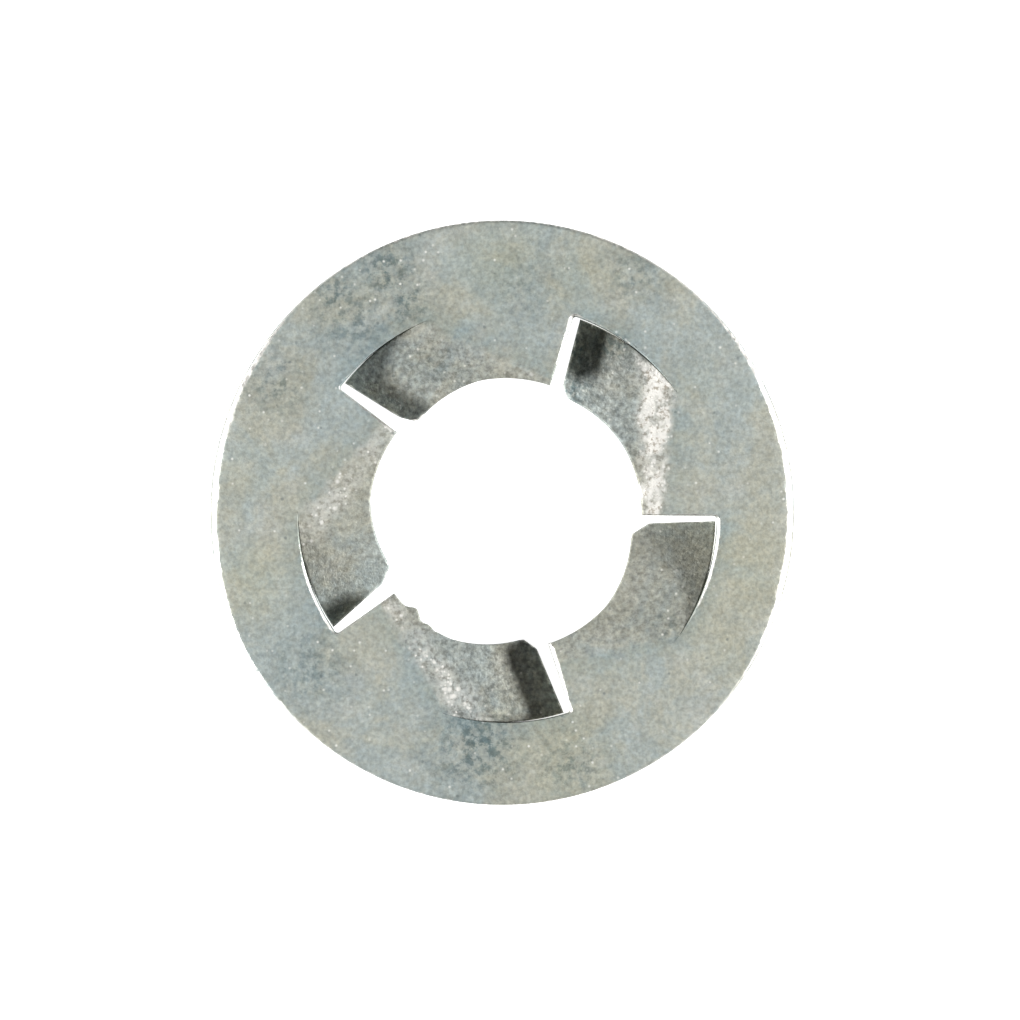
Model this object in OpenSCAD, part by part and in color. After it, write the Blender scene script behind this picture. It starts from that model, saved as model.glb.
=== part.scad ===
// Push-on nut: one piece of stamped spring steel that is pushed along a stud and grips it.
// A flat ring carries tongues, lanced out of the sheet and folded down round the stud hole.
// The ring's bearing face is up, the stud runs along Z, and the tongue tips stand on z = 0.
// Each tongue is drawn clockwise from its slit, with the slit's fixed edge along +X.

/* [Ring] */
// Diameter over the rim
outer_d = 17.5; // [16:0.1:22]
// Thickness of the steel sheet
sheet_t = 0.5; // [0.3:0.05:0.7]
// Width of the rounded band that blanking leaves along the rim's upper edge
rim_roll_w = 0.26; // [0.1:0.02:0.4]
// Depth of that band at the rim's wall
rim_roll_h = 0.12; // [0.04:0.02:0.2]

/* [Stud hole] */
// Diameter of the hole at the roots of the tongues
hole_d = 8.18; // [7.6:0.02:8.8]
// Diameter of the circle that the tongue tips reach in to
tip_d = 7.76; // [7.4:0.02:7.9]
// Radius of the curved edge that runs from a tongue's root to its tip
grip_r = 3.7; // [3:0.1:5]
// Angle from the slit at which that edge leaves the hole's circle
grip_from = 42; // [36:1:48]
// Angle from the slit at which it reaches the tip
grip_to = 9.5; // [8:0.5:14]

/* [Tongues] */
// Number of tongues round the hole
tongue_n = 5; // [4:1:5]
// Radius at which the tongues are lanced free of the ring
lance_r = 6.2; // [5.8:0.1:7]
// Angle that the lance runs round from the slit
lance_sweep = 33; // [28:1:38]
// Gap left by the lance
lance_gap = 0.06; // [0.04:0.01:0.12]
// Width of the slit at its outer end
slit_outer_w = 0.21; // [0.15:0.01:0.4]
// Width of the slit where it opens into the hole
slit_inner_w = 0.35; // [0.2:0.01:0.5]
// Distance along the tongue's free edge from the hole's circle to its bevelled nose
nose_in = 0.13; // [0.05:0.01:0.3]
// Angle between the free edge and the nose's bevel
nose_deg = 31; // [20:1:45]
// Radius at which a fold runs into the next slit
fold_in_r = 4.5; // [4.2:0.05:4.8]
// Angle that a tongue is folded down through
fold_deg = 19; // [12:1:24]
// Inside radius of the fold
fold_r = 1.7; // [1:0.1:2.5]
// Width of the rounded band along the ring's edge at a slit and its lance
edge_roll_w = 0.17; // [0.08:0.01:0.25]
// Depth of that band
edge_roll_h = 0.08; // [0.03:0.01:0.15]

/* [Burr] */
// Tongue that has the punching burr, counted from the slit on +X
burr_tongue = 4; // [0:1:4]
// Angle of the burr from that tongue's slit
burr_at = 61.5; // [50:0.5:64]
// Diameter of the burr's rounded end
burr_w = 0.68; // [0.4:0.02:0.8]
// How far the burr stands into the hole
burr_reach = 0.2; // [0.05:0.01:0.2]
// Share of the sheet's thickness that the burr covers
burr_share = 0.46; // [0.3:0.02:0.46]
// Share of the thickness left clear under the burr
burr_lift = 0.34; // [0.3:0.01:0.36]

/* [Hidden] */
$fn = 120;

// Cutters run past what they cut by this much
over = 1;
// A lance runs on past its fold by this much, so that the tongue bends free of the ring
relief = 0.03;
// An edge's rounding is this much flatter than the arc that would be tangent to the sheet
roll_flatness = 1.1;

outer_r = outer_d / 2;
hole_r = hole_d / 2;
tip_r = tip_d / 2;
pitch = 360 / tongue_n;

// Fold line, from the next slit's fixed edge out to the end of the lance, and its frame
fold_in = polar(fold_in_r, -pitch);
fold_out = polar(lance_r, -lance_sweep);
fold_dir = unit(fold_out - fold_in);
fold_side = [-fold_dir.y, fold_dir.x];
fold_angle = atan2(fold_dir.y, fold_dir.x);

// The bend's upper radius, and how far it runs out and drops
bend_r = fold_r + sheet_t;
bend_run = bend_r * sin(fold_deg);
bend_drop = bend_r * (1 - cos(fold_deg));

// Centre of the arc along a tongue's inner edge
grip_c = arc_centre(polar(hole_r, -grip_from), polar(tip_r, -grip_to), grip_r);

// Free edge of the tongue, across the slit from the ring's fixed edge
edge_in = [hole_r, -slit_inner_w];
edge_dir = unit([lance_r, -slit_outer_w] - edge_in);
edge_out = edge_in + (lance_r + over - hole_r) * edge_dir;

// Where the nose's bevel leaves the free edge, and its direction from there to the tip
nose_from = edge_in + nose_in * edge_dir;
nose_dir = polar(1, atan2(edge_dir.y, edge_dir.x) + 180 + nose_deg);

// Length of the slope down to its far end, and the height of the ring's face over that end's lower edge
slope = max(on_tongue(nose_from).y, on_tongue([lance_r, -slit_outer_w]).y);
ring_top = bend_drop + slope * sin(fold_deg) + sheet_t * cos(fold_deg);

function polar(r, a) = r * [cos(a), sin(a)];
function unit(v) = v / norm(v);

// Centre of the arc of radius r from p to q that has its centre on the left
function arc_centre(p, q, r) =
    let (half = norm(q - p) / 2, dir = unit(q - p))
    (p + q) / 2 + sqrt(r ^ 2 - half ^ 2) * [-dir.y, dir.x];

// A point of the plan, laid on the tongue's sloping face: along the fold and down from the bend
function on_tongue(p) =
    [(p - fold_in) * fold_dir, ((p - fold_in) * fold_side - bend_run) / cos(fold_deg)];

// Section to cut from an edge at x = 0 of a sheet that lies at x < 0 under y = 0
module roll_section(w, h) {
    r = roll_flatness * (w ^ 2 + h ^ 2) / (2 * h);
    c = arc_centre([0, -h], [-w, 0], r);
    difference() {
        translate([(c.x - w) / 2, -h]) square([(w - c.x) / 2 + over, h + over]);
        translate(c) circle(r);
    }
}

// Outer band of the ring, from the lances to the rim, with both its upper edges rounded
module band() {
    rotate_extrude() difference() {
        translate([lance_r, -sheet_t]) square([outer_r - lance_r, sheet_t]);
        translate([outer_r, 0]) roll_section(rim_roll_w, rim_roll_h);
        translate([lance_r, 0]) mirror([1, 0]) roll_section(edge_roll_w, edge_roll_h);
    }
}

// The sheet's section across the fold: flat, then the bend, then the slope
module fold_section() {
    translate([-lance_r, -sheet_t]) square([lance_r, sheet_t]);
    translate([0, -bend_r]) {
        difference() {
            intersection() {
                circle(bend_r);
                polygon([[0, 0], [0, 2 * bend_r], 2 * bend_r * [sin(fold_deg), cos(fold_deg)]]);
            }
            circle(fold_r);
        }
        rotate(-fold_deg) translate([0, fold_r]) square([slope + over, sheet_t]);
    }
}

// A leaf as seen from above: flat web from the slit before it to the fold, then the lanced tongue.
// The web reaches across the band's rounded edge, so that the two are one sheet there.
module leaf_plan() {
    far = 2 * lance_r;
    end = fold_in - relief * fold_side;
    web = [end - far * fold_dir, end + far * fold_dir];
    difference() {
        intersection() {
            polygon([[0, 0], polar(far, -pitch), polar(far, -pitch / 2), [far, 0]]);
            union() {
                circle(lance_r - lance_gap);
                intersection() {
                    circle(lance_r + 2 * edge_roll_w);
                    polygon([web[0], web[1], web[1] - far * fold_side, web[0] - far * fold_side]);
                }
            }
        }
        intersection() {
            circle(hole_r);
            translate(grip_c) circle(grip_r);
        }
    }
}

// What is sheared off beyond the free edge and the nose's bevel, square to the tongue's face
module end_cut() {
    tip = on_tongue(nose_from + 2 * over * nose_dir);
    far = on_tongue(edge_out);
    past = [0, 2 * over];
    translate([0, 0, -2 * sheet_t]) linear_extrude(3 * sheet_t)
        polygon([tip, on_tongue(nose_from), far, far + past, tip + past]);
}

// Web and tongue in one bent sheet, with the web's edge at the slit rounded like the band's
module leaf() {
    difference() {
        intersection() {
            translate([0, 0, -ring_top - over]) linear_extrude(ring_top + 2 * over) leaf_plan();
            translate(fold_in) rotate(fold_angle) rotate([90, 0, 90])
                translate([0, 0, -lance_r]) linear_extrude(3 * lance_r) fold_section();
        }
        translate(fold_in) rotate(fold_angle) translate([0, bend_run, -bend_drop])
            rotate([-fold_deg, 0, 0]) end_cut();
        rotate(-pitch) rotate([90, 0, 90]) linear_extrude(2 * lance_r) mirror([1, 0])
            roll_section(edge_roll_w, edge_roll_h);
    }
}

// Small tag that the punch left on the edge of the hole
module burr() {
    translate([each polar(hole_r - burr_reach + burr_w / 2, -burr_at), (burr_lift - 1) * sheet_t])
        cylinder(d = burr_w, h = burr_share * sheet_t);
}

module push_nut() {
    color("#AFB5B3") translate([0, 0, ring_top]) {
        band();
        for (i = [0 : tongue_n - 1]) rotate(i * pitch) leaf();
        rotate(burr_tongue * pitch) burr();
    }
}

push_nut();
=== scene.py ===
"""Push-on nut: a stamped, zinc-plated ring with five lanced tongues, seen from straight above."""
import math

import bpy
import numpy as np
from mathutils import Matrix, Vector, noise
from mathutils.geometry import delaunay_2d_cdt
from mathutils.kdtree import KDTree


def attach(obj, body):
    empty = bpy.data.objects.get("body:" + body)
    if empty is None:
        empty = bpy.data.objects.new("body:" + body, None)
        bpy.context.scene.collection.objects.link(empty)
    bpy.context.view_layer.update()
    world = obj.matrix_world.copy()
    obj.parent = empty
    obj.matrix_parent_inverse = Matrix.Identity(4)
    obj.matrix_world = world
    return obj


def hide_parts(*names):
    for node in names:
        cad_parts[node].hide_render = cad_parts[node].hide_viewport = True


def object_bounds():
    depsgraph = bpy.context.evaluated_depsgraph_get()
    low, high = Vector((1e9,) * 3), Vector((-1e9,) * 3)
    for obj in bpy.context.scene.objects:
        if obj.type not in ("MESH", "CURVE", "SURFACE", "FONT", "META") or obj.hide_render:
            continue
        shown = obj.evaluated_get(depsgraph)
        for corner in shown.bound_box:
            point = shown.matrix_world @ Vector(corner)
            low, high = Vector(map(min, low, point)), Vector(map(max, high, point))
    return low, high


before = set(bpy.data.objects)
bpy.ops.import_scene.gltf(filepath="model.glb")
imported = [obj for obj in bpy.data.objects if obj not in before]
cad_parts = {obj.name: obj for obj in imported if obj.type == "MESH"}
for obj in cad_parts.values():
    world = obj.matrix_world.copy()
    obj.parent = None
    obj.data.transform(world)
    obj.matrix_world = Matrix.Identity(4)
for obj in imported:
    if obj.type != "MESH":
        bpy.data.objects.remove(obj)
cad_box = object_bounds()
MM = 0.001

# The stamping, in millimetres and degrees, as in the solid
OUTER_R = cad_box[1][0] / MM
RING_TOP = cad_box[1][2] / MM
LEAVES = 5
PITCH = 360 / LEAVES
SHEET_T = 0.5
HOLE_R = 4.09
SLIT_END_R = 0.1
# A tongue's inner edge: its radius, and how far round from the slit it leaves the hole's circle
GRIP_R = 3.7
GRIP_FROM = 42.0
# The lance: radius, sweep from the slit to the fold, width, and how far it runs past the fold
LANCE_R = 6.2
LANCE_SWEEP = 33.0
LANCE_GAP = 0.008
RELIEF = 0.03
# The fold: where it meets the next slit, its angle, and the radius under the bend and over it
FOLD_IN_R = 4.5
FOLD_DEG = 19.0
FOLD_R = 1.7
BEND_R = FOLD_R + SHEET_T
COS_F = math.cos(math.radians(FOLD_DEG))
SIN_F = math.sin(math.radians(FOLD_DEG))

# What the press left uneven. Rows of five go by leaf, anticlockwise from the one below the +X slit.
SLIT_AT = (-0.45, 71.0, 142.85, 215.3, 288.3)
SLIT_OUTER_W = (0.15, 0.21, 0.22, 0.22, 0.21)
# No tongue lies this near to its slit's fixed edge
SLIT_CLEAR = 0.1
# How much further out than in the solid each lance runs, and how much further back each fold lies
LANCE_OUT = (0.14, 0.1, 0.06, 0.01, 0.04)
FOLD_BACK = (0.3, 0.25, -0.15, 0.2, 0.2)
# Each tongue's nose: where its bevel leaves the free edge and meets the inner edge, how round its
# corners are, and how much of the straight edge is left beside them
NOSE_FROM = np.array([[4.32, -0.235], [4.21, -0.37], [4.3, -0.4], [4.24, -0.44], [4.15, -0.375]])
NOSE_TO = np.array([[3.8, -0.57], [3.9, -0.65], [3.8, -0.62], [3.74, -0.74], [3.74, -0.67]])
NOSE_ROUND = (0.08, 0.08, 0.3, 0.12, 0.06)
NOSE_STRAIGHT = 0.06
# The rim's centre, a little off the hole's
RIM_CENTRE = np.array([-0.096, 0.051])
# A slope's length in plan, and how much flatter it starts and steeper it ends than in the solid
SLOPE_RUN = 2.55
SLOPE_CURVE = 0.12
# Burr on the edge of the hole: its leaf, then degrees clockwise from the slit and how far it stands in
BURR_LEAF = 4
BURR = (
    (47.5, 0), (49.5, -0.02), (51.2, 0.02), (52.9, 0.05), (54.0, 0.035), (55.6, 0), (57.0, 0.01),
    (58.2, 0.07), (59.4, 0.125), (60.4, 0.17), (61.4, 0.195), (62.4, 0.185), (63.4, 0.14),
    (64.6, 0.075), (65.8, 0.02), (67.2, 0),
)

# Width and depth of the rounding that shearing leaves along the upper edge: rim, slit's fixed edge,
# ring's side of the lance, tongue's side, free edge and nose, hole
ROLL = {
    "rim": np.array([0.38, 0.16]), "slit": np.array([0.2, 0.085]), "lance": np.array([0.17, 0.075]),
    "tongue": np.array([0.07, 0.03]), "free": np.array([0.09, 0.04]), "hole": np.array([0.05, 0.018]),
}
# The rim's share of it by degrees round the rim, widest on the left and right
RIM_ROLL = (
    (0, 1.0), (25, 0.9), (35, 0.55), (48, 0.32), (90, 0.24), (135, 0.3), (152, 0.85), (180, 1.0),
    (192, 0.75), (207, 0.34), (225, 0.24), (270, 0.18), (318, 0.28), (330, 0.45), (343, 0.85), (360, 1.0),
)
# Each slit's share of it, at the hole and at the outer end, and each lance's, which fades out at the fold
SLIT_ROLL = ((0.55, 0.55), (0.25, 0.95), (0.9, 0.4), (0.55, 0.55), (1.25, 0.75))
LANCE_ROLL = (1.0, 0.5, 0.3, 0.9, 0.12)
LANCE_FADE = np.array([1.0, 1.0, 1.0, 0.5, 0.08])
# How unevenly it is rounded: share, waves in a millimetre, seed
UNEVEN = ((0.2, 0.9, 3.0), (0.15, 2.5, 7.0), (0.14, 5.5, 5.0))
# How steeply a rounding falls away, and the lip at its edge: share, where it begins, steepness
ROLL_POWER = 2.2
LIP = 0.6
LIP_FROM = 0.86
LIP_POWER = 1.6
# Across a rounding, from 0 at its inner side to 1 at the edge: where rubbed zinc begins, where it ends,
# where it ends on the rim, and over what share it fades. A rounding of this depth is rubbed fully.
RUB_IN = (0.3, 0.6)
RUB_OUT = 1.0
RUB_OUT_RIM = 0.9
RUB_FADE = 0.08
RUB_DEPTH = 0.1
# Painted shade on the rim's steep outer edge: where across the rounding it begins, and how dark it is
EDGE_SHADE_FROM = (0.82, 0.9)
EDGE_SHADE = 0.6
# Painted shade as a line along the rim's upper and lower parts, which face away from the lamps: degrees and
# how dark, and how far in it fades out
RIM_SHADE = (
    (0, 0), (50, 0), (68, 0.55), (113, 0.55), (130, 0), (210, 0), (240, 0.16), (300, 0.16), (322, 0), (360, 0),
)
RIM_SHADE_IN = (0.1, 0.04)

# How brightly the press has rubbed each fold, with a painted highlight as strong as the light on that fold;
# the band's width, how much wider it gets outwards over what length, and over what distance it begins and what
# share of its width it fades out
FOLD_RUB_AND_GLINT = (0.05, 1.3, 0.15, 0.5, 0.62)
BAND_W = 0.5
BAND_WIDER = 0.15
BAND_LENGTH = 4
BAND_IN = 0.2
BAND_OUT = 0.4
# How much each tongue's film is stretched thin and darkened with painted shade, and where across the fold that
# begins
THIN_AND_SHADE = (0.75, 1.0, 1.0, 0.65, 1.0)
THIN_AND_SHADE_FROM = (-0.1, 0.4)
# How ragged the lines along the folds are: reach, waves in a millimetre, seed
RAGGED = (0.22, 2.4, 11.0)
# Bluish, darker film: width of the band beside a lance, where it begins at the slit and ends past the fold,
# width of the band before a fold, how far over the fold that goes, and its share
BLUE_BESIDE = 0.7
BLUE_BEGINS = (-2, 2)
BLUE_ENDS = (LANCE_SWEEP + 6, LANCE_SWEEP - 2)
BLUE_BEFORE = 0.9
BLUE_OVER = 0.1
BLUE_BEFORE_SHARE = 0.8
# Dull patches of the film, and painted shade: the ones at (4.15, 62), (5.95, 58) and (5.4, 66) darken the
# nose, the strip beside the lance and the shadowed end of the tongue beside the slit at 71 degrees. Radius and
# angle of the middle, reach, depth
DULL_AND_SHADE_PATCHES = (
    ((8.1, 116), 0.9, 1.0), ((7.05, 115), 0.8, 0.9), ((8.3, 128), 0.8, 0.9), ((7.4, 128), 1.3, 0.7),
    ((7.9, 150), 1.0, 0.7), ((7.0, 263), 1.4, 1.0), ((7.7, 285), 1.1, 0.7), ((7.4, 218), 1.3, 0.6),
    ((6.9, 85), 1.4, 0.4), ((8.2, 62), 0.9, 0.7), ((4.15, 62), 0.6, 1.0),
    ((5.95, 58), 0.6, 0.9), ((5.4, 66), 0.5, 1.0), ((5.2, 112), 1.1, 0.4), ((5.85, -35), 0.55, 0.7),
)
# Olive patches of the film, given in the same way
OLIVE = (
    ((7.6, 92), 1.3, 1.0), ((7.4, 74), 1.0, 0.8), ((7.9, 194), 1.2, 1.0), ((7.3, -13), 1.5, 0.9),
    ((7.5, -77), 1.3, 0.9), ((7.8, 170), 1.0, 0.5), ((7.2, 35), 1.0, 0.4), ((7.6, -30), 0.9, 0.7),
)

# Spacing of points along the edges, on the round ends of slits and lances, on the noses and on the
# hole's edge, and while corners are rounded
STEP = 0.05
END_STEP = 0.02
NOSE_STEP = 0.03
ROOT_STEP = 0.04
CORNER_STEP = 0.004
ARC_POINTS = 600
# Rows of points along the edges of the upper and lower face, by distance, and the grid between them
TOP_ROWS = (0.02, 0.045, 0.075, 0.115, 0.165, 0.23, 0.3)
TOP_GRID = 0.17
LOW_ROWS = (0.05, 0.15)
LOW_GRID = 0.3
# Rows from here on have half the points; how clear of the edges the points of rows and grid stay
SPARSE_FROM = 0.1
ROW_CLEAR = 0.93
GRID_CLEAR = 0.45
GRID_MARGIN = 0.2
SAME_POINT = 1e-7
# Rows down a sheared wall, smooth where the punch cut and set back where the sheet tore: share of the
# height and distance back, then how rough the torn part is and its waves in a millimetre
WALL_ROWS = ((0.14, 0.0), (0.34, 0.002), (0.5, 0.008), (0.68, 0.012), (0.86, 0.012))
TORN = 0.8
TORN_WAVES = 5.0
SHARP_DEG = 38

# Floor: half its width, half the part with a fine grid, and how far under the metal its own shine goes
FLOOR_HALF = 400
FLOOR_FINE = 10
FLOOR_STEP = 0.1
FLOOR_SHINE = (0.35, 0.1)

# Colours: of the film, its crystals and pits, and of zinc that is rubbed bare, whose light shades also serve
# as painted highlights and glints over the folds
BLUE_GREY = (0.4, 0.448, 0.43, 1)
OLIVE_GREY = (0.445, 0.455, 0.39, 1)
PALE = (0.5, 0.515, 0.475, 1)
CRYSTAL = (0.85, 0.85, 0.8, 1)
PIT = (0.16, 0.19, 0.19, 1)
BARE_DARK = (0.47, 0.43, 0.36, 1)
BARE_AND_GLINT_LIGHT = (0.97, 0.95, 0.89, 1)
RUBBED_AND_GLINT = (0.98, 0.965, 0.91, 1)
# Tints of the film: cool and warm grain, olive, dull patches with painted shade, stretched tongues with
# painted shade, bluish bands, and sheared places with painted shade on the rim's edge
COOL = (0.98, 1.0, 1.03, 1)
WARM = (1.02, 1.0, 0.97, 1)
OLIVE_TINT = (1.02, 0.995, 0.92, 1)
DULL_AND_SHADE_TINT = (0.3, 0.39, 0.43, 1)
THIN_AND_SHADE_TINT = (0.815, 0.8, 0.787, 1)
BLUE_TINT = (0.77, 0.838, 0.88, 1)
SHEARED_AND_SHADE_TINT = (0.24, 0.24, 0.23, 1)
BUMP_DEPTH = 0.02

# Lights: place, size and power
LIGHTS = {
    "left": ((-146, -18, 50), (70, 24), 0.432),
    "right": ((147, 4, 50), (56, 24), 0.432),
}
SKY = 0.006
# The photo, in pixels: its width, the length of a millimetre, and the hole's centre
PHOTO_W = 1020
PHOTO_SCALE = 33.43
PHOTO_HOLE = (505.5, 514.4)
CAMERA_Z = 120
SENSOR_W = 36


def polar(r, deg):
    """Points at a radius and an angle."""
    a = np.radians(deg)
    return np.stack([r * np.cos(a), r * np.sin(a)], axis=-1)


def bearing(p):
    """Angle of a point, in degrees."""
    return math.degrees(math.atan2(p[1], p[0]))


def turn(p, deg):
    """Points turned round the hole's centre."""
    a = math.radians(deg)
    c, s = math.cos(a), math.sin(a)
    return np.asarray(p) @ np.array([[c, s], [-s, c]])


def unit(v):
    return v / np.linalg.norm(v)


def ramp(v, start, end):
    """0 up to the start, 1 from the end on, and straight between."""
    return np.clip((v - start) / (end - start), 0, 1)


def along_pairs(v, pairs):
    """Value at v on the straight lines through pairs of place and value."""
    return np.interp(v, *zip(*pairs))


def arc_centre(p, q, r):
    """Centre of the arc of radius r from p to q that has its centre on the left."""
    half = np.linalg.norm(q - p) / 2
    d = unit(q - p)
    return (p + q) / 2 + math.sqrt(r * r - half * half) * np.array([-d[1], d[0]])


def meet_circle(p, d, r):
    """Where the line from p along d leaves a circle of radius r round the hole's centre."""
    b = p @ d
    return p + (math.sqrt(b * b + r * r - p @ p) - b) * d


def arc(r, a, b, centre=(0, 0)):
    return np.asarray(centre) + polar(r, np.linspace(a, b, ARC_POINTS))


# The fold line of a leaf whose slit is along +X: a point on it, its direction, and the way downhill
FOLD_IN = polar(FOLD_IN_R, -PITCH)
FOLD_DIR = unit(polar(LANCE_R, -LANCE_SWEEP) - FOLD_IN)
FOLD_SIDE = np.array([-FOLD_DIR[1], FOLD_DIR[0]])


def even(points, step=STEP, n=None):
    """A line through the points with evenly spaced vertices; its last point is left to the next line."""
    points = np.asarray(points)
    run = np.concatenate([[0], np.cumsum(np.linalg.norm(np.diff(points, axis=0), axis=1))])
    n = n or max(2, int(round(run[-1] / step)))
    at = np.linspace(0, run[-1], n + 1)[:-1]
    return np.stack([np.interp(at, run, points[:, 0]), np.interp(at, run, points[:, 1])], axis=1)


def round_line(points, reach):
    """The line through the points, with its corners rounded off over a reach on both sides."""
    fine = even(points, CORNER_STEP)
    n = int(reach / CORNER_STEP)
    padded = np.concatenate([2 * fine[0] - fine[n:0:-1], fine, 2 * fine[-1] - fine[-2:-n - 2:-1]])
    weight = np.hanning(2 * n + 3)[1:-1]
    weight /= weight.sum()
    return np.stack([np.convolve(padded[:, i], weight, "valid") for i in range(2)], axis=1)


def leaf_outline(k):
    """Edges of one leaf, clockwise from its slit to the one before it: upper line, lower line, rounding."""
    lean = -SHEET_T * SIN_F * FOLD_SIDE
    lance_r = LANCE_R + LANCE_OUT[k]
    parts = []

    def add(points, kind, low=None, step=STEP, share=(1, 1)):
        line = even(points, step)
        n = len(line)
        low_line = line if low is None else even(low, n=n)
        spread = np.interp(np.linspace(0, 1, n), np.linspace(0, 1, len(share)), share)
        parts.append((line, low_line, spread[:, None] * ROLL[kind]))

    # Slit's fixed edge, its rounded outer end, and the ring's side of the lance to just past the fold
    end_x = math.sqrt((lance_r - SLIT_END_R) ** 2 - SLIT_END_R ** 2)
    end_centre = (end_x, -SLIT_END_R)
    add([[HOLE_R, 0], [end_x, 0]], "slit", share=SLIT_ROLL[k])
    end_share = (SLIT_ROLL[k][1],) * 2
    add(arc(SLIT_END_R, 90, bearing(end_centre), end_centre), "slit", step=END_STEP, share=end_share)
    past_fold = FOLD_IN - (RELIEF + FOLD_BACK[k]) * FOLD_SIDE
    lance_end = bearing(meet_circle(past_fold, FOLD_DIR, lance_r))
    add(arc(lance_r, bearing(end_centre), lance_end), "lance", share=LANCE_ROLL[k] * LANCE_FADE)
    # Round end of the lance
    half = LANCE_GAP / 2
    mid = polar(lance_r - half, lance_end)
    add(arc(half, lance_end, lance_end - 180, mid), "lance", step=END_STEP, share=LANCE_FADE[[-1, -1]])
    # The tongue's side of the lance, and the free edge, square to the tongue's face like the nose
    r = lance_r - LANCE_GAP
    nose = NOSE_FROM[k]
    edge_dir = unit(np.array([lance_r, -SLIT_OUTER_W[k]]) - nose)
    corner = meet_circle(nose, edge_dir, r)
    corner_low = meet_circle(nose + lean, edge_dir, r)
    side_low = arc(r, lance_end, bearing(corner_low))
    add(arc(r, lance_end, bearing(corner)), "tongue", side_low, share=LANCE_FADE[::-1])
    blend = NOSE_STRAIGHT + NOSE_ROUND[k]
    edge_end = nose + blend * edge_dir
    add([corner, edge_end], "free", [corner_low, edge_end + lean])
    # Nose: a bevel with rounded corners, from the free edge to the curved inner edge
    tip = NOSE_TO[k]
    grip_end = polar(HOLE_R, -GRIP_FROM)
    centre = arc_centre(grip_end, tip, GRIP_R)
    grip_start = bearing(tip - centre)
    grip_on = grip_start - math.degrees(blend / GRIP_R)
    bevel = np.concatenate([[edge_end, nose], arc(GRIP_R, grip_start, grip_on, centre)])
    bevel = round_line(bevel, NOSE_ROUND[k])
    # Its lower line stops leaning over the last third
    leaning = np.clip(np.linspace(3, 0, len(bevel)), 0, 1)[:, None]
    add(bevel, "free", bevel + leaning * lean, NOSE_STEP)
    # Curved inner edge, and the hole's edge at the tongue's root
    add(arc(GRIP_R, grip_on, bearing(grip_end - centre), centre), "hole")
    at = np.linspace(GRIP_FROM, (SLIT_AT[k] - SLIT_AT[k - 1]) % 360, ARC_POINTS)
    burr = along_pairs(at, BURR) if k == BURR_LEAF else 0
    add(polar(HOLE_R - burr, -at), "hole", step=ROOT_STEP)
    upper, lower, roll = (np.concatenate(lines) for lines in zip(*parts))
    return turn(upper, SLIT_AT[k]), turn(lower, SLIT_AT[k]), roll


def leaf_of(p):
    """Number of the leaf that each point of the plan is on; a slit's fixed edge is on the leaf before it."""
    nudge = 0.01
    phi = np.degrees(np.arctan2(p[:, 1], p[:, 0])) + nudge
    return np.argmin(np.stack([(s - phi) % 360 for s in SLIT_AT]), axis=0)


def from_fold(p, k):
    """Distances along and across a leaf's fold, and whether each point is on that leaf, not on the ring."""
    q = turn(p, -SLIT_AT[k])
    on = (leaf_of(p) == k) & (q[:, 1] < -SLIT_CLEAR)
    on &= np.hypot(p[:, 0], p[:, 1]) < LANCE_R + LANCE_OUT[k] - LANCE_GAP / 2
    return (q - FOLD_IN) @ FOLD_DIR, (q - FOLD_IN) @ FOLD_SIDE + FOLD_BACK[k], on


def fall(p, lower):
    """Height of the upper or lower face, from the ring's face, at points seen from above."""
    z = np.zeros(len(p))
    bend = FOLD_R if lower else BEND_R
    for k in range(LEAVES):
        _, y, on = from_fold(p, k)
        on &= y > 0
        round_y = np.minimum(y, bend * SIN_F)
        drop = bend - np.sqrt(bend ** 2 - np.where(on, round_y, 0) ** 2)
        # The slope starts flatter and ends steeper, and every tongue ends equally low
        past = np.maximum(y - bend * SIN_F, 0)
        run = SLOPE_RUN + FOLD_BACK[k]
        drop += past * (SIN_F / COS_F * SLOPE_RUN / run - SLOPE_CURVE * (1 - past / run))
        z = np.where(on, -drop, z)
    return z - (SHEET_T if lower else 0)


def wobble(p, waves, seed):
    """Smooth noise from -1 to 1 at each point of the plan."""
    return np.array([noise.noise(Vector((x * waves, y * waves, seed))) for x, y in p])


def worked(p):
    """Two shares of the upper face: rubbed with a painted highlight in a band over each fold, and stretched
    thin with painted shade on the tongues.
    """
    rub_and_glint = np.zeros(len(p))
    thin_and_shaded = np.zeros(len(p))
    reach, waves, seed = RAGGED
    ragged = reach * wobble(p, waves, seed)
    for k in range(LEAVES):
        x, y, on = from_fold(p, k)
        wide = BAND_W + max(FOLD_BACK[k], 0) + BAND_WIDER * np.clip(x, 0, BAND_LENGTH)
        y = y + ragged
        band = ramp(y, 0, BAND_IN) * ramp(y, wide, (1 - BAND_OUT) * wide)
        rub_and_glint = np.where(on, FOLD_RUB_AND_GLINT[k] * band, rub_and_glint)
        thin_and_shaded = np.where(on, THIN_AND_SHADE[k] * ramp(y, *THIN_AND_SHADE_FROM), thin_and_shaded)
    return rub_and_glint, thin_and_shaded


def patches(p, spots):
    """Soft spots of the film."""
    share = np.zeros(len(p))
    for (r, deg), reach, depth in spots:
        d = np.linalg.norm(p - polar(r, deg), axis=1) / reach
        share = np.maximum(share, depth * np.exp(-d ** 2))
    return share


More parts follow.
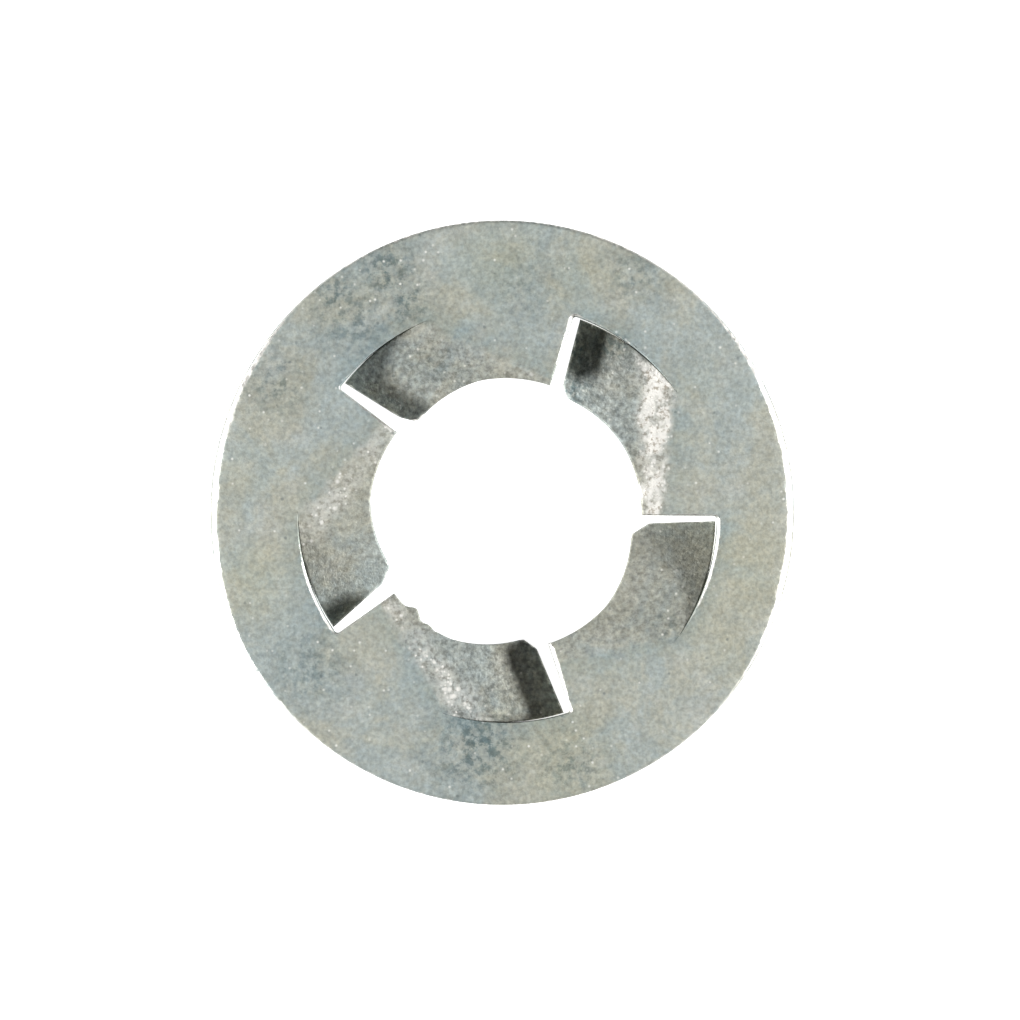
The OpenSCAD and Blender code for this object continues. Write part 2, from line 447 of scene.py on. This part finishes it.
def bluish_bands(p):
    """How bluish and dark the flat sheet is: along the ring's side of a lance and before a fold."""
    r = np.hypot(p[:, 0], p[:, 1])
    share = np.zeros(len(p))
    for k in range(LEAVES):
        q = turn(p, -SLIT_AT[k])
        phi = -np.degrees(np.arctan2(q[:, 1], q[:, 0]))
        out = r - LANCE_R - LANCE_OUT[k]
        beside = ramp(phi, *BLUE_BEGINS) * ramp(phi, *BLUE_ENDS) * ramp(out, BLUE_BESIDE, 0)
        beside *= out > -LANCE_GAP / 2
        _, y, on = from_fold(p, k)
        before = BLUE_BEFORE_SHARE * ramp(y, -BLUE_BEFORE, 0) * (on & (y < BLUE_OVER))
        share = np.maximum(share, np.maximum(beside, before))
    return share


def smooth_loop(v, n):
    """Running mean of rows round a closed loop."""
    out = np.zeros_like(v)
    for i in range(-n, n + 1):
        out += np.roll(v, i, axis=0)
    return out / (2 * n + 1)


def inside(p, loop):
    """Whether each point is inside a closed loop."""
    odd = np.zeros(len(p), bool)
    a = loop
    b = np.roll(loop, -1, axis=0)
    for i in range(len(a)):
        if a[i, 1] == b[i, 1]:
            continue
        cross = (a[i, 1] > p[:, 1]) != (b[i, 1] > p[:, 1])
        x = a[i, 0] + (p[:, 1] - a[i, 1]) * (b[i, 0] - a[i, 0]) / (b[i, 1] - a[i, 1])
        odd ^= cross & (p[:, 0] < x)
    return odd


def on_metal(p, outer, inner):
    return inside(p, outer) & ~inside(p, inner)


def nearest(tree, p):
    """Distance and number of the edge's point that is nearest to each point."""
    found = [tree.find((x, y, 0)) for x, y in p]
    return np.array([f[2] for f in found]), np.array([f[1] for f in found])


def into_metal(loop):
    """Unit vectors to the left of a closed loop, which has the metal on that side."""
    along = np.roll(loop, -1, axis=0) - np.roll(loop, 1, axis=0)
    side = np.stack([-along[:, 1], along[:, 0]], axis=1)
    return side / np.linalg.norm(side, axis=1)[:, None]


def next_points(n, m):
    """Number of the next point round the outer loop of n points or the inner loop of m that follows it."""
    return np.concatenate([(np.arange(n) + 1) % n, n + (np.arange(m) + 1) % m])


def fill(outer, inner, rows, grid):
    """Points and triangles of the plan between two loops, whose points come first, and the loops' tree."""
    loops = np.concatenate([outer, inner])
    tree = KDTree(len(loops))
    for i, (x, y) in enumerate(loops):
        tree.insert((x, y, 0), i)
    tree.balance()
    points = [loops]
    for d in rows:
        for loop in (outer, inner):
            row = (loop + d * into_metal(loop))[::1 if d < SPARSE_FROM else 2]
            gap, _ = nearest(tree, row)
            row = row[gap > ROW_CLEAR * d]
            points.append(row[on_metal(row, outer, inner)])
    reach = OUTER_R + GRID_MARGIN
    gx, gy = np.meshgrid(np.arange(-reach, reach, grid), np.arange(-reach, reach, grid * math.sqrt(3) / 2))
    gx[1::2] += grid / 2
    row = np.stack([gx.ravel(), gy.ravel()], axis=1)
    gap, _ = nearest(tree, row)
    points.append(row[(gap > rows[-1] + GRID_CLEAR * grid) & on_metal(row, outer, inner)])
    points = np.concatenate(points)
    edges = list(enumerate(next_points(len(outer), len(inner)).tolist()))
    out = delaunay_2d_cdt([Vector(p) for p in points], edges, [], 0, SAME_POINT)
    flat = np.array([v[:] for v in out[0]])
    # No two points may fall together, because the walls are joined to the loops by number
    assert len(flat) == len(points)
    tris = np.array(out[2])
    tris = tris[on_metal(flat[tris].mean(axis=1), outer, inner)]
    a, b, c = flat[tris[:, 0]], flat[tris[:, 1]], flat[tris[:, 2]]
    area = (b[:, 0] - a[:, 0]) * (c[:, 1] - a[:, 1]) - (b[:, 1] - a[:, 1]) * (c[:, 0] - a[:, 0])
    tris[area < 0] = tris[area < 0][:, ::-1]
    return flat, tris, tree


def add_object(name, data):
    thing = bpy.data.objects.new(name, data)
    bpy.context.scene.collection.objects.link(thing)
    return thing


def give(mesh, name, values):
    """A value for each point of a mesh, for its material."""
    mesh.attributes.new(name, "FLOAT", "POINT").data.foreach_set("value", values)


def build_nut():
    """One closed mesh of the stamped sheet: rounded upper face, sheared walls and lower face."""
    n = int(2 * math.pi * OUTER_R / STEP)
    angles = np.linspace(0, 360, n, endpoint=False)
    outer = RIM_CENTRE + polar(OUTER_R, angles)
    leaves = [leaf_outline(k) for k in reversed(range(LEAVES))]
    inner, inner_low, inner_roll = (np.concatenate(lines) for lines in zip(*leaves))
    m = len(inner)
    rim_roll = along_pairs(angles, RIM_ROLL)[:, None] * ROLL["rim"]
    roll = np.concatenate([rim_roll, smooth_loop(inner_roll, 3)])

    top, top_tris, tree = fill(outer, inner, TOP_ROWS, TOP_GRID)
    low, low_tris, _ = fill(outer, inner_low, LOW_ROWS, LOW_GRID)
    gap, near = nearest(tree, top)
    near[:n + m] = np.arange(n + m)
    gap[:n + m] = 0
    uneven = 1 + sum(share * wobble(top, waves, seed) for share, waves, seed in UNEVEN)
    across = ramp(gap, roll[near, 0] * uneven, 0)
    lip = LIP * ramp(across, LIP_FROM, 1) ** LIP_POWER
    top_z = fall(top, False) - roll[near, 1] * uneven * (across ** ROLL_POWER + lip)
    low_z = fall(low, True)
    # Where the press has rubbed the film off the rounded edges, and the painted shade on the rim's outer edge
    # and along its upper and lower parts
    on_rim = near < n
    rub_out = np.where(on_rim, RUB_OUT_RIM, RUB_OUT)
    edge_rub = ramp(roll[near, 1], 0, RUB_DEPTH) * ramp(across, *RUB_IN)
    edge_rub *= ramp(across, rub_out, rub_out - RUB_FADE)
    # Painted shade: a dark line on the rim's upper and lower parts
    line = along_pairs(np.where(on_rim, near, 0) * 360 / n, RIM_SHADE) * ramp(gap, *RIM_SHADE_IN)
    fold_rub_and_glint, formed_and_shaded = worked(top)
    shares = {
        "edge_rub": edge_rub,
        "sheared": on_rim * np.maximum(EDGE_SHADE * ramp(across, *EDGE_SHADE_FROM), line),
        "fold_rub_and_glint": fold_rub_and_glint,
        "formed_and_shaded": formed_and_shaded,
        "dull_and_shade": patches(top, DULL_AND_SHADE_PATCHES),
        "olive": patches(top, OLIVE),
        "bluish_bands": bluish_bands(top),
    }

    points = [np.column_stack([top, top_z])]
    rows = [np.arange(n + m)]
    count = len(top)
    rim_top = points[0][:n + m]
    all_low = np.column_stack([low, low_z])
    side = np.pad(np.concatenate([into_metal(outer), into_metal(inner)]), ((0, 0), (0, 1)))
    for down, set_back in WALL_ROWS:
        ring = rim_top + down * (all_low[:n + m] - rim_top)
        rough = wobble(ring[:, :2], TORN_WAVES, 10 * down)
        points.append(ring + side * (set_back * (1 + TORN * rough))[:, None])
        rows.append(count + np.arange(n + m))
        count += n + m
    points.append(all_low)
    rows.append(count + np.arange(n + m))
    faces = [top_tris, low_tris[:, ::-1] + count]
    follow = next_points(n, m)
    for a, b in zip(rows, rows[1:]):
        faces.append(np.stack([a, b, b[follow]], axis=1))
        faces.append(np.stack([a, b[follow], a[follow]], axis=1))
    points = np.concatenate(points)
    points[:, 2] = np.maximum(points[:, 2] + RING_TOP, 0)

    mesh = bpy.data.meshes.new("stamped_nut")
    mesh.from_pydata((points * MM).tolist(), [], np.concatenate(faces).tolist())
    mesh.validate()
    mesh.shade_smooth()
    for name, values in shares.items():
        all_over = np.zeros(len(points))
        all_over[:len(top)] = values
        # The walls are sheared all over
        all_over[len(top):count] = name == "sheared"
        give(mesh, name, all_over)
    mesh.set_sharp_from_angle(angle=math.radians(SHARP_DEG))
    return add_object("stamped_nut", mesh), outer, inner, tree


def build_floor(outer, inner, tree):
    """Wide floor, with the share "open": 1 where no metal lies over it, fading out under the metal."""
    fine = np.arange(-FLOOR_FINE, FLOOR_FINE + FLOOR_STEP / 2, FLOOR_STEP)
    lines = np.concatenate([[-FLOOR_HALF], fine, [FLOOR_HALF]])
    n = len(lines)
    gx, gy = np.meshgrid(lines, lines)
    flat = np.stack([gx.ravel(), gy.ravel()], axis=1)
    gap, _ = nearest(tree, flat)
    shine = np.where(on_metal(flat, outer, inner), ramp(gap, *FLOOR_SHINE), 1)
    first = (np.arange(n - 1)[:, None] * n + np.arange(n - 1)).ravel()
    faces = np.stack([first, first + 1, first + n + 1, first + n], axis=1)
    mesh = bpy.data.meshes.new("floor")
    mesh.from_pydata(np.pad(flat * MM, ((0, 0), (0, 1))).tolist(), [], faces.tolist())
    give(mesh, "open", shine)
    return add_object("floor", mesh)


class Graph:
    """Short ways to add and link the nodes of one material."""

    def __init__(self, name):
        self.mat = bpy.data.materials.new(name)
        self.mat.use_nodes = True
        self.nodes = self.mat.node_tree.nodes
        self.links = self.mat.node_tree.links
        self.bsdf = self.nodes["Principled BSDF"]

    def put(self, socket, value):
        """Link a socket to another one, or set its value."""
        if isinstance(value, bpy.types.NodeSocket):
            self.links.new(value, socket)
        else:
            socket.default_value = value

    def noise(self, place, scale, detail, rough, warp=0.0):
        n = self.nodes.new("ShaderNodeTexNoise")
        self.put(n.inputs["Vector"], place)
        self.put(n.inputs["Scale"], scale)
        self.put(n.inputs["Detail"], detail)
        self.put(n.inputs["Roughness"], rough)
        self.put(n.inputs["Distortion"], warp)
        return n.outputs["Fac"]

    def cells(self, place, scale):
        """Distance from the middle of a cell, and a value of its own for each cell."""
        n = self.nodes.new("ShaderNodeTexVoronoi")
        self.put(n.inputs["Vector"], place)
        self.put(n.inputs["Scale"], scale)
        return n.outputs["Distance"], n.outputs["Color"]

    def spread(self, value, low, high, to_low=0.0, to_high=1.0):
        """A value's range from low to high, spread smoothly over another range."""
        n = self.nodes.new("ShaderNodeMapRange")
        n.interpolation_type = "SMOOTHSTEP"
        for i, v in enumerate((value, low, high, to_low, to_high)):
            self.put(n.inputs[i], v)
        return n.outputs["Result"]

    def painted_glints(self, place, scale, share):
        """Painted glints: bright dots, one in a cell, more of them where the share is higher."""
        distance, own = self.cells(place, scale)
        near = self.spread(distance, 0.15, 0.5, 1.0, 0.0)
        chance = self.math("ADD", own, self.math("MULTIPLY", share, 0.85))
        return self.math("MULTIPLY", near, self.spread(chance, 0.95, 1.2))

    def given(self, name):
        """A share that the mesh gives for each of its points."""
        n = self.nodes.new("ShaderNodeAttribute")
        n.attribute_name = name
        return n.outputs["Fac"]

    def math(self, kind, a, b):
        n = self.nodes.new("ShaderNodeMath")
        n.operation = kind
        self.put(n.inputs[0], a)
        self.put(n.inputs[1], b)
        return n.outputs[0]

    def mix(self, share, a, b, kind="MIX"):
        n = self.nodes.new("ShaderNodeMix")
        n.data_type = "RGBA"
        n.blend_type = kind
        self.put(n.inputs["Factor"], share)
        self.put(n.inputs["A"], a)
        self.put(n.inputs["B"], b)
        return n.outputs["Result"]

    def tint(self, share, film, colour):
        return self.mix(share, film, colour, "MULTIPLY")


def zinc_plate():
    """Dull zinc with a clouded film, grainy all over, bright where the press has rubbed it, with painted
    highlights over the folds and painted shade on the tongues and the rim.
    """
    g = Graph("zinc_plate")
    coord = g.nodes.new("ShaderNodeTexCoord")
    scale = g.nodes.new("ShaderNodeMapping")
    scale.inputs["Scale"].default_value = (1 / MM,) * 3
    g.put(scale.inputs["Vector"], coord.outputs["Object"])
    place = scale.outputs["Vector"]
    dull_and_shade = g.given("dull_and_shade")
    bluish = g.given("bluish_bands")
    formed_and_shaded = g.given("formed_and_shaded")

    # Clouds of the film: blue-grey, olive and pale, a few millimetres across
    cloud = g.spread(g.noise(place, 0.42, 4.0, 0.6, 0.6), 0.4, 0.62)
    pale = g.spread(g.noise(place, 0.75, 3.0, 0.6), 0.45, 0.75)
    film = g.mix(cloud, BLUE_GREY, OLIVE_GREY)
    film = g.mix(g.math("MULTIPLY", pale, 0.5), film, PALE)
    # Grain about a tenth of a millimetre across, mottled, in a cool and a warm hue
    grain = g.noise(place, 7.5, 2.5, 0.7)
    film = g.tint(1.0, film, g.spread(grain, 0.25, 0.75, 0.77, 1.22))
    mottle = g.noise(place, 2.3, 3.0, 0.6)
    film = g.tint(1.0, film, g.spread(mottle, 0.3, 0.7, 0.925, 1.075))
    hue = g.spread(g.noise(place, 5.0, 3.0, 0.65), 0.3, 0.7)
    film = g.tint(1.0, film, g.mix(hue, COOL, WARM))
    # Dark pits, more of them in the bluish bands, the dull patches and the painted shade
    distance, own = g.cells(place, 1.9)
    often = g.math("ADD", own, g.math("MULTIPLY", g.math("MAXIMUM", bluish, dull_and_shade), 0.3))
    pitted = g.math("MULTIPLY", g.spread(distance, 0.05, 0.13, 1.0, 0.0), g.spread(often, 0.6, 0.75))
    film = g.mix(g.math("MULTIPLY", pitted, 0.6), film, PIT)
    # Olive and dull patches, painted shade on one tongue, and bright crystals, more of them in the dull
    # patches and painted shade
    film = g.tint(g.given("olive"), film, OLIVE_TINT)
    speck = g.noise(place, 4.0, 4.0, 0.7)
    film = g.tint(g.math("MULTIPLY", dull_and_shade, g.spread(speck, 0.38, 0.58, 1.0, 0.15)), film, DULL_AND_SHADE_TINT)
    distance, own = g.cells(place, 4.2)
    many = g.math("ADD", own, g.math("MULTIPLY", dull_and_shade, 0.14))
    keen = g.spread(distance, 0.06, 0.24, 1.0, 0.0)
    film = g.mix(g.math("MULTIPLY", keen, g.spread(many, 0.6, 0.9, 0.0, 0.9)), film, CRYSTAL)
    # Browner and coarser on the tongues, darkened there with painted shade; bluer and darker in bands beside
    # the lances and before the folds
    film = g.tint(formed_and_shaded, film, THIN_AND_SHADE_TINT)
    coarse = g.noise(place, 6.0, 3.0, 0.7)
    film = g.tint(formed_and_shaded, film, g.spread(coarse, 0.3, 0.7, 0.66, 1.34))
    film = g.tint(g.math("MULTIPLY", bluish, g.spread(mottle, 0.3, 0.6, 0.35, 1.0)), film, BLUE_TINT)
    # Darker on the sheared walls, and painted shade along the rim's outer edge and as a line on its upper and
    # lower parts
    film = g.tint(g.given("sheared"), film, SHEARED_AND_SHADE_TINT)
    # Speckled bare zinc over the folds, its light speckles a painted highlight
    wear = g.spread(g.noise(place, 1.6, 3.0, 0.6), 0.35, 0.62, 0.4, 1.0)
    wear_and_glint = g.math("MULTIPLY", g.given("fold_rub_and_glint"), wear)
    bare_and_glint = g.math("MULTIPLY", wear_and_glint, g.spread(wear_and_glint, 0.4, 1.0, 0.55, 1.0))
    film = g.mix(bare_and_glint, film, g.mix(g.spread(coarse, 0.37, 0.51), BARE_DARK, BARE_AND_GLINT_LIGHT))
    # Rubbed zinc along the rounded edges, in dots where they are narrow, and painted glints as sparks over the
    # folds
    dots = g.math("ADD", g.given("edge_rub"), g.noise(place, 5.0, 2.0, 0.6))
    edge = g.spread(dots, 0.75, 1.1, 0.0, 0.9)
    painted_glints = g.math("MAXIMUM", g.painted_glints(place, 5.0, wear_and_glint), g.painted_glints(place, 9.0, wear_and_glint))
    rubbed_and_glint = g.math("MAXIMUM", edge, painted_glints)
    g.put(g.bsdf.inputs["Base Color"], g.mix(rubbed_and_glint, film, RUBBED_AND_GLINT))
    g.put(g.bsdf.inputs["Metallic"], g.spread(edge, 0.0, 0.9, 0.22, 0.9))
    g.put(g.bsdf.inputs["Specular IOR Level"], 0.3)
    rough = g.spread(grain, 0.3, 0.7, 0.66, 0.54)
    g.put(g.bsdf.inputs["Roughness"], g.math("SUBTRACT", rough, g.math("MULTIPLY", rubbed_and_glint, 0.2)))

    bump = g.nodes.new("ShaderNodeBump")
    g.put(bump.inputs["Distance"], BUMP_DEPTH * MM)
    g.put(bump.inputs["Strength"], g.spread(edge, 0.0, 0.8, 1.0, 0.25))
    fine = g.noise(place, 14.0, 2.0, 0.6)
    g.put(bump.inputs["Height"], g.math("ADD", grain, g.math("MULTIPLY", fine, 0.5)))
    g.put(g.bsdf.inputs["Normal"], bump.outputs["Normal"])
    return g.mat


def area_light(name, place, size, power):
    """Rectangular light that faces the hole's centre."""
    data = bpy.data.lights.new(name, "AREA")
    data.shape = "RECTANGLE"
    data.size = size[0] * MM
    data.size_y = size[1] * MM
    data.energy = power
    lamp = add_object(name, data)
    lamp.location = Vector(place) * MM
    lamp.rotation_euler = (-Vector(place)).to_track_quat("-Z", "Y").to_euler()


scene = bpy.context.scene
nut, outer_line, inner_line, edge_tree = build_nut()
nut.data.materials.append(zinc_plate())
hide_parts("push_nut")
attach(nut, "root")

# Pale floor
floor = build_floor(outer_line, inner_line, edge_tree)
paper = Graph("floor")
paper.put(paper.bsdf.inputs["Base Color"], (0.9, 0.9, 0.9, 1))
paper.put(paper.bsdf.inputs["Roughness"], 0.9)
paper.put(paper.bsdf.inputs["Emission Color"], (1, 1, 1, 1))
paper.put(paper.bsdf.inputs["Emission Strength"], paper.given("open"))
floor.data.materials.append(paper.mat)

# Soft studio light
world = bpy.data.worlds.new("studio")
scene.world = world
world.use_nodes = True
sky = world.node_tree.nodes["Background"]
sky.inputs["Color"].default_value = (1, 1, 1, 1)
sky.inputs["Strength"].default_value = SKY
for light_name, (light_place, light_size, light_power) in LIGHTS.items():
    area_light(light_name, light_place, light_size, light_power)

# Camera at the photo's angle, from straight above, with the ring's face at the photo's scale
camera_data = bpy.data.cameras.new("camera")
camera_data.sensor_width = SENSOR_W
camera_data.lens = SENSOR_W * (CAMERA_Z - RING_TOP) * PHOTO_SCALE / PHOTO_W
camera_data.clip_start = 0.005
camera_data.clip_end = 5
camera = add_object("camera", camera_data)
camera_x = (PHOTO_W / 2 - PHOTO_HOLE[0]) / PHOTO_SCALE
camera_y = (PHOTO_HOLE[1] - PHOTO_W / 2) / PHOTO_SCALE
camera.location = Vector((camera_x, camera_y, CAMERA_Z)) * MM
scene.camera = camera
scene.view_settings.view_transform = "Standard"
